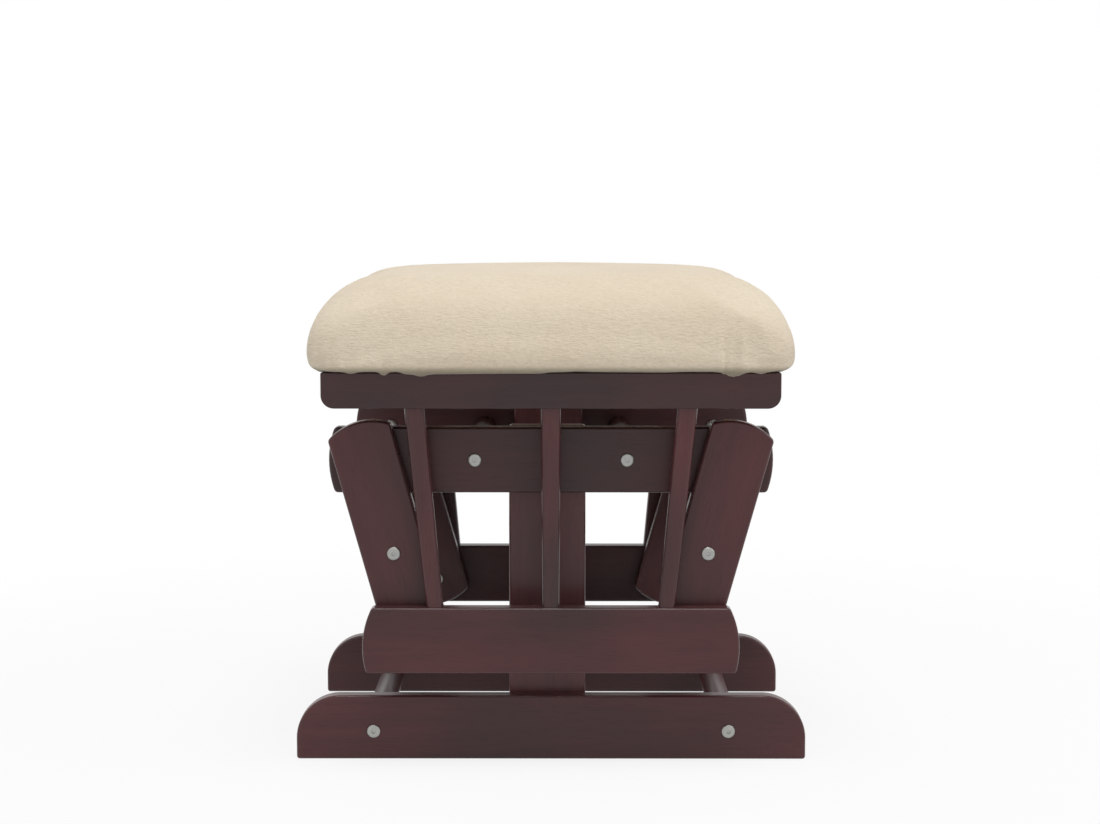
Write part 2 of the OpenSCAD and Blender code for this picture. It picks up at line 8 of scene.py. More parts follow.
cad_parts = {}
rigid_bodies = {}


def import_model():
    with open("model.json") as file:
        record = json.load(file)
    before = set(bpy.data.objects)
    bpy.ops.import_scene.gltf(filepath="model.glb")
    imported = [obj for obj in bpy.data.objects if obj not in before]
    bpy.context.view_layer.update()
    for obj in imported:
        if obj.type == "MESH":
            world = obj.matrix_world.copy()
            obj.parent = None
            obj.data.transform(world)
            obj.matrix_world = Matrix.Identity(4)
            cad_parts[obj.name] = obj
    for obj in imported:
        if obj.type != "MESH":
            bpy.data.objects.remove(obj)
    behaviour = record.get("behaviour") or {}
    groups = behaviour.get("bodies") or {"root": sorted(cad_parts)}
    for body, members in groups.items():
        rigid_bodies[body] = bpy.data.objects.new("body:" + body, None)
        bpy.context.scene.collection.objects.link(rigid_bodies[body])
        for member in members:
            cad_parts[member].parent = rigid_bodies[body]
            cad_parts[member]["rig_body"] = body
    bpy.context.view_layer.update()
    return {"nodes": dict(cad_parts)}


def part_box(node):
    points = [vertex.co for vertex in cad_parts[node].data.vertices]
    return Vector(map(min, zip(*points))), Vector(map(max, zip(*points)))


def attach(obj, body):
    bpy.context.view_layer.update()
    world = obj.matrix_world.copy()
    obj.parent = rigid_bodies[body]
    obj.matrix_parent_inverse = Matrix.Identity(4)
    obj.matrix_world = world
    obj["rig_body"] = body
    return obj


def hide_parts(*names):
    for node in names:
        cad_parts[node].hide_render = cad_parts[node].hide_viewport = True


MM = 0.001

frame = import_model()
nodes = frame["nodes"]

# Camera: placed and aimed as the photograph was taken, lengths in metres and angles in degrees
PHOTO_WIDTH = 1100
FOCAL_PIXELS = 2214.6
SENSOR_WIDTH = 36.0
CAMERA_PLACE = Vector((0.0058, -2.1975, 0.5325))
CAMERA_PITCH = 5.67
CAMERA_YAW = 0.187

# Stage and light
FLOOR_SIZE = 30.0
FLOOR_COLOUR = (0.9, 0.9, 0.9, 1)
FLOOR_WHITE_SHARE = 0.84
FLOOR_SHADE_REACH = (0.45, 1.3)
AMBIENT = 0.50
LAMPS = {
    "key_lamp": {"place": (0.05, -0.66, 2.75), "size": 1.3, "power": 32},
    "side_lamp": {"place": (2.2, -0.5, 1.5), "size": 1.2, "power": 8},
    "rear_lamp": {"place": (-1.2, 2.2, 1.8), "size": 1.8, "power": 6},
}
LAMP_TARGET = Vector((0, 0, 0.25))

# Wooden pieces: how far their edges are rounded over
BOARD_EASING = 2.8 * MM
TOP_RAIL_EASING = 1.4 * MM
SPINDLE_EASING = 4.8 * MM
EASING_STEPS = 4
BAR_SIDES = 96
BAR_CHAMFER = 0.8 * MM
BAR_CHAMFER_STEPS = 2
# A spindle is parted from its tenons this close to its shoulders, and they start this deep in it
SHOULDER_CUT = 0.02 * MM
TENON_SINK = 1.0 * MM
# Sharp edges that hang together over less than this are a bore's, and stay sharp
OUTLINE_SPAN = 60 * MM
SHARP_ANGLE = math.radians(35)
# An edge runs along an axis where that axis has more than this share of its direction
ALONG_SHARE = 0.9
WELD_DISTANCE = 0.01 * MM
CUT_DISTANCE = 0.001 * MM
FLAT_ANGLE = math.radians(0.5)

# Bolts
HEAD_RADIUS = 6.4 * MM
HEAD_HEIGHT = 2.4 * MM
HEAD_RIM = 0.9 * MM
SHANK_RADIUS = 3.0 * MM
SOCKET_RADIUS = 2.3 * MM
SOCKET_DEPTH = 1.5 * MM
TIP_CHAMFER = 0.8 * MM
HEAD_SIDES = 48
# The socket opens from a ring this much wider, down to a hexagon this deep
SOCKET_MOUTH = 1.12
SOCKET_LIP = 0.15 * MM
# Half of the angle that each flat of the hexagon takes up
HALF_FLAT = math.radians(30)
# The dome from the socket to the rim, in shares of the head's radius and of the dome's height
DOME_PROFILE = [(0.60, 0.08), (0.80, 0.24), (0.93, 0.55)]

# Cushion: half its length and width, and its height, once the padding has swollen
CUSHION_OUTSIDE = Vector((224.3 * MM, 196.2 * MM))
CUSHION_HEIGHT = 94 * MM
CUSHION_SHARP_ANGLE = math.radians(80)
# The form before it swells
BELLY_HEIGHT = {"side": 6.5 * MM, "front": 21 * MM, "rear": 21 * MM}
HEM_INSET = Vector((11 * MM, 5.3 * MM))
DRAWN_IN = Vector((3 * MM, 1.5 * MM))
CORNER_RADIUS = 26 * MM
CROWN_CORNER_RADIUS = 72 * MM
CORNER_CHANGE = 0.15
CROWN_DOME = 0.127
CROWN_DOME_POWER = 1.22
CROWN_POWER = 9.6
CROWN_FULLNESS = {"side": 0.63, "front": 0.64, "rear": 0.57}
SIDE_TO_END_CHANGE = 1.5
# The cube that the form is laid over: its cuts, and the shares of it that the faces take up
FORM_CUTS = 63
FORM_FACE = 0.999
FORM_BELLY = -0.4
TOP_SHARE = 0.80
# How far the padding swells, and what limits it
SWELL = 2.0 * MM
SWELL_LIMIT = 3.0 * MM
SWELL_FRAMES = 20
SWELL_PRESSURE = 4.0
# The skin is evened out on a grid this fine, and held up to this height while it swells
CUSHION_VOXEL = 5.2 * MM
PIN_HEIGHT = 2.0 * MM

# Hem of the cushion's cover: it hangs over the rails' outer faces, and clear of them
RAIL_FACE = 190.5 * MM
CLEARING_DROP = 0.4 * MM
HEM_ROLL = 10 * MM
HEM_BAND = 3 * MM
# How early the hem's moves fade in: at its line, on cloth that faces out, and above the rails
LINE_LEAD = 0.8
FACING_LEAD = 0.6
HEIGHT_LEAD = 0.5
# How far the cover hangs over a rail's edge, by places along the side
HEM_DROPS = [
    (-0.215, 0.0), (-0.141, 0.1 * MM), (-0.131, 2.7 * MM), (-0.012, 2.9 * MM), (0.006, 1.1 * MM),
    (0.025, 0.0), (0.048, 0.7 * MM), (0.100, 0.9 * MM), (0.125, 0.0), (0.215, 0.0),
]
GATHER_KINDS = {
    "pleat": {"half_width": 3.5 * MM, "drop": 0.3 * MM, "crease": 1.3 * MM, "rise": 34 * MM},
    "tuck": {"half_width": 6.0 * MM, "drop": 2.2 * MM, "crease": 0.6 * MM, "rise": 14 * MM},
    "tip": {"half_width": 4.0 * MM, "drop": 4.2 * MM, "crease": 1.6 * MM, "rise": 24 * MM},
    "pucker": {"half_width": 3.6 * MM, "drop": 1.8 * MM, "crease": 4.6 * MM, "rise": 58 * MM},
    "bunch": {"half_width": 10 * MM, "drop": 3.6 * MM, "crease": 0.0 * MM, "rise": 12 * MM},
}
# Each place is a distance along the side from its middle, towards the right as one faces it
SIDE_GATHERS = {
    "right": [(-0.198, "pleat"), (-0.182, "tuck"), (-0.152, "tip"), (-0.118, "tuck"),
              (0.160, "pucker"), (0.168, "pucker"), (0.167, "bunch"), (0.191, "tuck")],
    "left": [(-0.189, "tuck"), (-0.166, "pucker"), (-0.160, "bunch"), (0.149, "tip"),
             (0.172, "tuck"), (0.196, "pleat")],
    "front": [(-0.158, "tuck"), (-0.139, "tip"), (0.128, "pucker"), (0.136, "bunch"),
              (0.159, "pleat")],
    "rear": [(-0.154, "pleat"), (-0.131, "bunch"), (-0.126, "pucker"), (0.141, "tip"),
             (0.162, "tuck")],
}
# Gathers reach this high, and this many half-widths to either side
GATHER_TOP = 70 * MM
GATHER_SPREAD = 4
# The ridges beside a crease: their share of its depth, and their place in half-widths
RIDGE_SHARE = 0.45
RIDGE_PLACE = 1.7

# Colours by their places on the noise that spreads them: stain from its brownest to its reddest
STAIN = [
    (0.36, (0.041, 0.0190, 0.0200)),
    (0.54, (0.058, 0.0215, 0.0225)),
    (0.74, (0.082, 0.0250, 0.0265)),
    (1.0, (0.115, 0.0330, 0.0350)),
]
FIGURE_SHADE = [(0.30, (0.86, 0.86, 0.87, 1)), (0.70, (1.08, 1.06, 1.05, 1))]
PORE_SHADE = [(0.30, (0.80, 0.80, 0.80, 1)), (0.46, (1, 1, 1, 1))]
BEECH = [(0.3, (0.50, 0.35, 0.20, 1)), (0.7, (0.62, 0.46, 0.29, 1))]
PLYWOOD = [
    (0.35, (0.47, 0.33, 0.20, 1)),
    (0.5, (0.58, 0.43, 0.27, 1)),
    (0.7, (0.64, 0.49, 0.32, 1)),
]
BUSH_NYLON = [(0.3, (0.66, 0.64, 0.58, 1)), (0.7, (0.74, 0.72, 0.66, 1))]
CLOTH = [(0.35, (0.765, 0.650, 0.500, 1)), (0.65, (0.80, 0.695, 0.545, 1))]
SLUB_SHADE = [
    (0.32, (0.925, 0.915, 0.895, 1)),
    (0.46, (0.98, 0.98, 0.975, 1)),
    (0.60, (1.0, 1.0, 1.0, 1)),
    (0.70, (1.05, 1.05, 1.05, 1)),
]
THREAD_SHADE = [(0.3, (0.95, 0.945, 0.93, 1)), (0.6, (1, 1, 1, 1))]
# Painted shade on the cloth near the hem, standing in for the shade under the cushion's edge:
# the height of its band, the seat's place in it, and its shades upwards
HEM_PAINTED_SHADE_HEIGHT = 10 * MM
HEM_PAINTED_SHADE_SEAT = 0.3
HEM_PAINTED_SHADE = [
    (0.0, (0.38, 0.38, 0.37, 1)),
    (0.35, (0.44, 0.44, 0.42, 1)),
    (0.62, (0.66, 0.66, 0.64, 1)),
    (0.80, (0.90, 0.90, 0.89, 1)),
    (1.0, (1, 1, 1, 1)),
]
# Noise of the lacquered wood, its cells a metre along the grain and across it
WOOD_CLOUD = {"scale": (5, 9, 9), "detail": 2.0, "roughness": 0.45, "lift": 1.7}
WOOD_FIGURE = {"scale": (6, 90, 90), "detail": 3.0, "roughness": 0.5}
WOOD_PORES = {"scale": (45, 900, 900), "detail": 2.0, "roughness": 0.6, "lift": 3.1}
# How rough the lacquer is, what its figure adds to it, and what rubbed edges take off
LACQUER_ROUGHNESS = 0.34
FIGURE_ROUGHNESS = 0.16
ARRIS_SMOOTHNESS = 0.18
# How dark the bloom leaves the zinc, and what it adds to its roughness
ZINC_BLOOM = 0.86
BLOOM_ROUGHNESS = 0.18
# Noise cells a metre of the cloth, along its slubs and threads, across them and through it
SLUB_CELLS = (200, 680)
THREAD_CELLS = (500, 1500)
CELLS_THROUGH = 3
THREAD_HEIGHT_SHARE = 0.35
# How sharply the cloth's pattern turns from one way of facing to the next
FACING_POWER = 4.0


def feed(tree, socket, value):
    """A node's input set to a value, or linked to another node's output."""
    if isinstance(value, bpy.types.NodeSocket):
        tree.links.new(value, socket)
    else:
        socket.default_value = value


def joined(kind, tree, settings=None, **inputs):
    """A new shader node of a kind, with its settings made and its inputs set or linked."""
    made = tree.nodes.new(kind)
    for name, value in (settings or {}).items():
        setattr(made, name, value)
    for name, value in inputs.items():
        feed(tree, made.inputs[name.replace("_", " ")], value)
    return made


def maths(tree, operation, *values):
    """The result of a calculation on values, each a number or another node's output."""
    made = tree.nodes.new("ShaderNodeMath")
    made.operation = operation
    for socket, value in zip(made.inputs, values):
        feed(tree, socket, value)
    return made.outputs[0]


def blank_material(name):
    """A new material, its node tree and its shader."""
    material = bpy.data.materials.new(name)
    material.use_nodes = True
    tree = material.node_tree
    tree.nodes.clear()
    shader = joined("ShaderNodeBsdfPrincipled", tree)
    joined("ShaderNodeOutputMaterial", tree, Surface=shader.outputs["BSDF"])
    return material, tree, shader


def ramp(tree, factor, stops):
    """Colours spread over a factor by their places on it."""
    made = joined("ShaderNodeValToRGB", tree, Fac=factor)
    elements = made.color_ramp.elements
    while len(elements) < len(stops):
        elements.new(0.5)
    for element, (place, colour) in zip(elements, stops):
        element.position = place
        element.color = colour
    return made.outputs["Color"]


def shaded(tree, colour, *shades):
    """A colour multiplied by each of the shades in turn."""
    for shade in shades:
        mixed = joined("ShaderNodeMix", tree, {"data_type": "RGBA", "blend_type": "MULTIPLY"})
        mixed.inputs["Factor"].default_value = 1.0
        tree.links.new(colour, mixed.inputs[6])
        tree.links.new(shade, mixed.inputs[7])
        colour = mixed.outputs[2]
    return colour


def bumped(tree, shader, height, strength, distance):
    """A shader's surface raised by a height, the distance in metres."""
    bump = joined("ShaderNodeBump", tree, Height=height, Strength=strength, Distance=distance)
    tree.links.new(bump.outputs[0], shader.inputs["Normal"])


def object_place(tree):
    """The place of a point on the object, in metres."""
    return joined("ShaderNodeTexCoord", tree).outputs["Object"]


def stretched_noise(tree, place, scale, turn=(0, 0, 0), detail=2.0, roughness=0.55, lift=0.0):
    """Noise on a place vector, with its own number of cells a metre along each axis."""
    turned = joined("ShaderNodeMapping", tree, Vector=place, Rotation=turn)
    mapped = joined("ShaderNodeMapping", tree, Vector=turned.outputs[0], Scale=scale,
                    Location=(lift, lift, lift))
    made = joined("ShaderNodeTexNoise", tree, Vector=mapped.outputs[0], Scale=1.0,
                  Detail=detail, Roughness=roughness)
    return made.outputs["Fac"]


def lacquered_wood(name, turn, redness=0.0, redder_ends=0.7, paler=1.0):
    """Dark reddish-brown stain under satin lacquer, its grain along X once turned."""
    material, tree, shader = blank_material(name)
    place = object_place(tree)
    cloud, figure, pores = [stretched_noise(tree, place, turn=turn, **noise)
                            for noise in (WOOD_CLOUD, WOOD_FIGURE, WOOD_PORES)]
    across = joined("ShaderNodeSeparateXYZ", tree, Vector=place).outputs["X"]
    from_middle = maths(tree, "MULTIPLY", maths(tree, "ABSOLUTE", across), redder_ends)
    # redness and paler shift and scale the stain; for the top rails and the post boards they
    # paint shade and light
    tone = maths(tree, "ADD", maths(tree, "ADD", cloud, from_middle), redness)
    stain = ramp(tree, tone, [
        (at, tuple(paler * part for part in colour) + (1,)) for at, colour in STAIN
    ])
    colour = shaded(tree, stain, ramp(tree, figure, FIGURE_SHADE), ramp(tree, pores, PORE_SHADE))
    tree.links.new(colour, shader.inputs["Base Color"])
    # The lacquer is rubbed smoother where an edge is rounded over
    satin = maths(tree, "MULTIPLY_ADD", figure, FIGURE_ROUGHNESS, LACQUER_ROUGHNESS)
    arris = joined("ShaderNodeAttribute", tree, {"attribute_name": "arris"}).outputs["Fac"]
    rough = maths(tree, "MULTIPLY_ADD", arris, -ARRIS_SMOOTHNESS, satin)
    tree.links.new(rough, shader.inputs["Roughness"])
    shader.inputs["Specular IOR Level"].default_value = 0.25
    shader.inputs["Coat Weight"].default_value = 0.22
    shader.inputs["Coat Roughness"].default_value = 0.20
    bumped(tree, shader, pores, strength=0.08, distance=0.4 * MM)
    return material


def pale_wood(name, stops, scale):
    """Unfinished wood with its figure in a pattern of the given cells a metre."""
    material, tree, shader = blank_material(name)
    figure = stretched_noise(tree, object_place(tree), scale, detail=4.0, roughness=0.6)
    tree.links.new(ramp(tree, figure, stops), shader.inputs["Base Color"])
    shader.inputs["Roughness"].default_value = 0.7
    bumped(tree, shader, figure, strength=0.15, distance=0.4 * MM)
    return material


def zinc_plate(name, colour, roughness):
    """Bright zinc: metal with a faint cloudy bloom."""
    material, tree, shader = blank_material(name)
    cloud = stretched_noise(tree, object_place(tree), (420, 420, 420), detail=3.0, roughness=0.6)
    tint = ramp(tree, cloud, [
        (0.35, tuple(ZINC_BLOOM * c for c in colour) + (1,)),
        (0.65, colour + (1,)),
    ])
    tree.links.new(tint, shader.inputs["Base Color"])
    rough = maths(tree, "MULTIPLY_ADD", cloud, BLOOM_ROUGHNESS, roughness)
    tree.links.new(rough, shader.inputs["Roughness"])
    shader.inputs["Metallic"].default_value = 1.0
    bumped(tree, shader, cloud, strength=0.05, distance=0.2 * MM)
    return material


def nylon(name):
    """Natural nylon with a fine speck."""
    material, tree, shader = blank_material(name)
    speck = stretched_noise(tree, object_place(tree), (900, 900, 900), detail=2.0, roughness=0.5)
    tree.links.new(ramp(tree, speck, BUSH_NYLON), shader.inputs["Base Color"])
    shader.inputs["Roughness"].default_value = 0.45
    return material


def face_weights(tree):
    """How much a surface faces along X, Y and Z, from 0 to 1."""
    normal = joined("ShaderNodeNewGeometry", tree).outputs["Normal"]
    parts = joined("ShaderNodeSeparateXYZ", tree, Vector=normal).outputs
    return [maths(tree, "POWER", maths(tree, "ABSOLUTE", part), FACING_POWER) for part in parts]


def on_each_face(tree, weights, place, cells, **looks):
    """Noise with cells long along the surface's level direction, whichever way it faces."""
    along, across = cells
    scales = [(CELLS_THROUGH, along, across), (along, CELLS_THROUGH, across),
              (along, across, CELLS_THROUGH)]
    total = None
    weight_sum = maths(tree, "ADD", maths(tree, "ADD", weights[0], weights[1]), weights[2])
    for weight, scale in zip(weights, scales):
        part = maths(tree, "MULTIPLY", stretched_noise(tree, place, scale, **looks), weight)
        total = part if total is None else maths(tree, "ADD", total, part)
    return maths(tree, "DIVIDE", total, weight_sum)


def slubbed_fabric(name):
    """Cream furnishing cloth with short level slubs and a fine plain weave."""
    material, tree, shader = blank_material(name)
    place = object_place(tree)
    weights = face_weights(tree)
    slubs = on_each_face(tree, weights, place, SLUB_CELLS, detail=2.0, roughness=0.6)
    threads = on_each_face(tree, weights, place, THREAD_CELLS, detail=1.0, roughness=0.5)
    cloud = stretched_noise(tree, place, (9, 9, 14))
    # Painted shade: the cloth is darkened towards its hem by height, for the shade under the
    # cushion's edge
    height_above = joined("ShaderNodeSeparateXYZ", tree, Vector=place).outputs["Z"]
    painted_shade_place = maths(tree, "MULTIPLY_ADD", height_above, 1 / HEM_PAINTED_SHADE_HEIGHT,
                      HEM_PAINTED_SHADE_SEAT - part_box("cushion")[0].z / HEM_PAINTED_SHADE_HEIGHT)
    colour = shaded(tree, ramp(tree, cloud, CLOTH), ramp(tree, slubs, SLUB_SHADE),
                    ramp(tree, threads, THREAD_SHADE), ramp(tree, painted_shade_place, HEM_PAINTED_SHADE))
    tree.links.new(colour, shader.inputs["Base Color"])
    shader.inputs["Roughness"].default_value = 0.92
    shader.inputs["Specular IOR Level"].default_value = 0.2
    shader.inputs["Sheen Weight"].default_value = 0.25
    shader.inputs["Sheen Roughness"].default_value = 0.5
    height = maths(tree, "ADD", slubs, maths(tree, "MULTIPLY", threads, THREAD_HEIGHT_SHARE))
    bumped(tree, shader, height, strength=0.75, distance=1.1 * MM)
    return material


# An arm leans by the line between its pivots, here in millimetres from the middle and the floor
TOP_PIVOT = (170, 287)
LOW_PIVOT = (123, 119)
ARM_LEAN = math.atan2(TOP_PIVOT[0] - LOW_PIVOT[0], TOP_PIVOT[1] - LOW_PIVOT[1])
UPRIGHT = math.radians(90)
# Turns that lay the grain of each board along X
GRAIN_LEVEL = (0, 0, 0)
GRAIN_ACROSS = (0, 0, UPRIGHT)
GRAIN_UPRIGHT = (0, UPRIGHT, 0)
GRAIN_FRONT_ARM = (0, UPRIGHT - ARM_LEAN, 0)
GRAIN_REAR_ARM = (0, UPRIGHT + ARM_LEAN, 0)
WOOD = {
    name: lacquered_wood("lacquered_wood_" + name, turn, **stain)
    for name, turn, stain in (
        ("level", GRAIN_LEVEL, {}),
        # Top rails: stain painted darker, a painted shade for the cushion's shadow on them
        ("level_painted_shade", GRAIN_LEVEL, {"redness": -0.12}),
        ("level_redder", GRAIN_LEVEL, {"redness": 0.10, "redder_ends": 0.1}),
        ("floor_rails", GRAIN_LEVEL, {"redness": 0.09, "redder_ends": 1.0}),
        ("across", GRAIN_ACROSS, {}),
        ("upright", GRAIN_UPRIGHT, {"redder_ends": 0.4, "paler": 1.16}),
        # Post boards: stain painted much paler, painted light that lifts them out of the shade
        # behind the lower rails
        ("posts", GRAIN_UPRIGHT, {"redness": 0.08, "redder_ends": 0.5, "paler": 1.88}),
        ("front_arm", GRAIN_FRONT_ARM, {"redness": 0.04, "paler": 1.06}),
        ("rear_arm", GRAIN_REAR_ARM, {"redness": 0.04, "paler": 1.1}),
    )
}
DOWEL_WOOD = pale_wood("bare_beech", BEECH, (300, 30, 300))
PLY_WOOD = pale_wood("bare_plywood", PLYWOOD, (10, 90, 650))
ZINC = zinc_plate("zinc_plate", (0.40, 0.40, 0.385), 0.32)
INSERT_STEEL = zinc_plate("insert_steel", (0.36, 0.35, 0.33), 0.36)
NYLON = nylon("bush_nylon")
FABRIC = slubbed_fabric("cream_slub_cloth")


def body_of_node(node):
    """The moving body that a node is part of."""
    return nodes[node]["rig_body"]


def mesh_of(name, bm):
    """A mesh made of a bmesh, which is then freed."""
    mesh = bpy.data.meshes.new(name)
    bm.to_mesh(mesh)
    bm.free()
    return mesh


def take_in(bm, other):
    """Another bmesh's shells added to a bmesh, and the other one freed."""
    mesh = mesh_of("shells", other)
    bm.from_mesh(mesh)
    bpy.data.meshes.remove(mesh)


def placed(name, data):
    """A new object in the scene."""
    made = bpy.data.objects.new(name, data)
    bpy.context.scene.collection.objects.link(made)
    return made


def finished(name, bm, material, node, smooth_angle=SHARP_ANGLE):
    """A new piece from a bmesh, which rides with a node and replaces it."""
    mesh = mesh_of(name, bm)
    mesh.shade_smooth()
    mesh.set_sharp_from_angle(angle=smooth_angle)
    mesh.materials.append(material)
    piece = placed(name, mesh)
    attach(piece, body_of_node(node))
    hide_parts(node)
    return piece


def flat_faced(piece):
    """A piece whose flat faces are shaded flat up to their rounded edges."""
    piece.modifiers.new("even_normals", "WEIGHTED_NORMAL").keep_sharp = True


def repaint(node, material):
    """A CAD node's own mesh in one of this object's materials."""
    data = nodes[node].data
    data.materials.clear()
    data.materials.append(material)


def merged_copy(node):
    """A node's loose triangles as a bmesh of joined flat faces, with none marked as an arris."""
    bm = bmesh.new()
    bm.from_mesh(nodes[node].data)
    bm.faces.layers.float.new("arris")
    bmesh.ops.remove_doubles(bm, verts=bm.verts, dist=WELD_DISTANCE)
    bmesh.ops.dissolve_limit(bm, angle_limit=FLAT_ANGLE, verts=bm.verts, edges=bm.edges,
                             use_dissolve_boundaries=False)
    return bm


def sharp_edges(bm):
    """Edges whose two faces meet at more than the sharp angle."""
    return [e for e in bm.edges
            if len(e.link_faces) == 2 and e.calc_face_angle(0.0) > SHARP_ANGLE]


def long_edges(bm, along):
    """The long sharp edges that run along an axis."""
    return [e for e in sharp_edges(bm)
            if abs((e.verts[1].co - e.verts[0].co).normalized()[along]) > ALONG_SHARE
            and e.calc_length() > OUTLINE_SPAN]


def outline_edges(bm):
    """The sharp edges that hang together over more than a bore does."""
    left = set(sharp_edges(bm))
    chosen = []
    while left:
        group = {left.pop()}
        front = list(group)
        while front:
            edge = front.pop()
            for vert in edge.verts:
                for other in vert.link_edges:
                    if other in left:
                        left.remove(other)
                        group.add(other)
                        front.append(other)
        points = [v.co for e in group for v in e.verts]
        span = max(max(p[i] for p in points) - min(p[i] for p in points) for i in range(3))
        if span > OUTLINE_SPAN:
            chosen.extend(group)
    return chosen


def ease(bm, edges, radius):
    """Edges rounded over, and marked as the arris."""
    arris = bm.faces.layers.float.get("arris")
    eased = bmesh.ops.bevel(bm, geom=edges, offset=radius, offset_type="OFFSET", affect="EDGES",
                            segments=EASING_STEPS, profile=0.5, material=-1, clamp_overlap=True)
    for face in eased["faces"]:
        face[arris] = 1.0


def eased_board(node, wood, radius=BOARD_EASING):
    """A board with all the edges of its outline rounded over."""
    bm = merged_copy(node)
    ease(bm, outline_edges(bm), radius)
    flat_faced(finished(node + "_board", bm, WOOD[wood], node))


def eased_cross_rail(node):
    """A cross rail with its long edges rounded over, and its ends square on the top rails."""
    bm = merged_copy(node)
    ease(bm, long_edges(bm, along=1), BOARD_EASING)
    flat_faced(finished(node + "_slat", bm, WOOD["across"], node))


def cut_off(bm, level, keep_above):
    """One side of a level cut through a solid, closed where it was cut."""
    bmesh.ops.bisect_plane(bm, geom=bm.verts[:] + bm.edges[:] + bm.faces[:], dist=CUT_DISTANCE,
                           plane_co=(0, 0, level), plane_no=(0, 0, 1),
                           clear_inner=keep_above, clear_outer=not keep_above)
    bmesh.ops.holes_fill(bm, edges=[e for e in bm.edges if e.is_boundary])


def eased_spindle(node):
    """A spindle with well-rounded long edges between its shoulders, and its two tenons."""
    whole = merged_copy(node)
    shoulders = [v.co.z for e in long_edges(whole, along=2) for v in e.verts]
    foot, top = min(shoulders), max(shoulders)
    bm = whole.copy()
    cut_off(bm, foot + SHOULDER_CUT, True)
    cut_off(bm, top - SHOULDER_CUT, False)
    for vert in bm.verts:
        vert.co.z += SHOULDER_CUT if vert.co.z > (foot + top) / 2 else -SHOULDER_CUT
    ease(bm, long_edges(bm, along=2), SPINDLE_EASING)
    for level, into in ((foot - SHOULDER_CUT, 1), (top + SHOULDER_CUT, -1)):
        tenon = whole.copy()
        cut_off(tenon, level, into < 0)
        for vert in tenon.verts:
            if abs(vert.co.z - level) < SHOULDER_CUT / 2:
                vert.co.z += into * TENON_SINK
        take_in(bm, tenon)
    whole.free()
    flat_faced(finished(node + "_slat", bm, WOOD["upright"], node))


def round_bar(node):
    """A turned bar along Y, with a small chamfer at each end."""
    low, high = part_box(node)
    centre = (low + high) / 2
    radius = (high.x - low.x) / 2
    bm = bmesh.new()
    bmesh.ops.create_cone(bm, cap_ends=True, segments=BAR_SIDES, radius1=radius, radius2=radius,
                          depth=high.y - low.y)
    rims = [e for e in bm.edges if e.calc_face_angle(0.0) > SHARP_ANGLE]
    bmesh.ops.bevel(bm, geom=rims, offset=BAR_CHAMFER, affect="EDGES",
                    segments=BAR_CHAMFER_STEPS, profile=0.5, material=-1)
    bm.transform(Matrix.Translation(centre) @ Matrix.Rotation(UPRIGHT, 4, "X"))
    flat_faced(finished(node + "_bar", bm, WOOD["across"], node))


def solids_of(node):
    """The lowest and highest corners of each separate solid of a node."""
    bm = merged_copy(node)
    left = set(bm.verts)
    boxes = []
    while left:
        group = [left.pop()]
        for vert in group:
            for edge in vert.link_edges:
                other = edge.other_vert(vert)
                if other in left:
                    left.remove(other)
                    group.append(other)
        boxes.append((Vector(min(v.co[i] for v in group) for i in range(3)),
                      Vector(max(v.co[i] for v in group) for i in range(3))))
    bm.free()
    return sorted(boxes, key=lambda b: tuple(b[0]))


def verts_in(geometry):
    """The vertices among what an operator made."""
    return [part for part in geometry if isinstance(part, bmesh.types.BMVert)]


def socket_rim(bm):
    """The open edge on a bolt's head."""
    return [e for e in bm.edges if e.is_boundary and e.verts[0].co.z < 0]


def bolt_shape(length):
    """A bolt along +Z from under its head: domed head with a hexagon socket, plain shank."""
    bm = bmesh.new()
    dome = HEAD_HEIGHT - HEAD_RIM
    profile = [
        (SOCKET_RADIUS * SOCKET_MOUTH, -HEAD_HEIGHT),
        *((HEAD_RADIUS * out, -HEAD_HEIGHT + dome * down) for out, down in DOME_PROFILE),
        (HEAD_RADIUS, -HEAD_RIM),
        (HEAD_RADIUS, 0),
        (SHANK_RADIUS, 0),
        (SHANK_RADIUS, length - TIP_CHAMFER),
        (SHANK_RADIUS - TIP_CHAMFER, length),
    ]
    verts = [bm.verts.new((r, 0, z)) for r, z in profile]
    edges = [bm.edges.new(pair) for pair in zip(verts, verts[1:])]
    bmesh.ops.spin(bm, geom=verts + edges, cent=(0, 0, 0), axis=(0, 0, 1),
                   angle=math.radians(360), steps=HEAD_SIDES, use_merge=True)
    bmesh.ops.remove_doubles(bm, verts=bm.verts, dist=CUT_DISTANCE)
    for vert in verts_in(bmesh.ops.extrude_edge_only(bm, edges=socket_rim(bm))["geom"]):
        angle = math.atan2(vert.co.y, vert.co.x)
        sector = (angle + HALF_FLAT) % (2 * HALF_FLAT) - HALF_FLAT
        reach = SOCKET_RADIUS * math.cos(HALF_FLAT) / math.cos(sector)
        vert.co = Vector((reach * math.cos(angle), reach * math.sin(angle),
                          -HEAD_HEIGHT + SOCKET_LIP))
    for vert in verts_in(bmesh.ops.extrude_edge_only(bm, edges=socket_rim(bm))["geom"]):
        vert.co.z = -HEAD_HEIGHT + SOCKET_DEPTH
    bmesh.ops.holes_fill(bm, edges=[e for e in bm.edges if e.is_boundary])
    bmesh.ops.recalc_face_normals(bm, faces=bm.faces)
    return bm


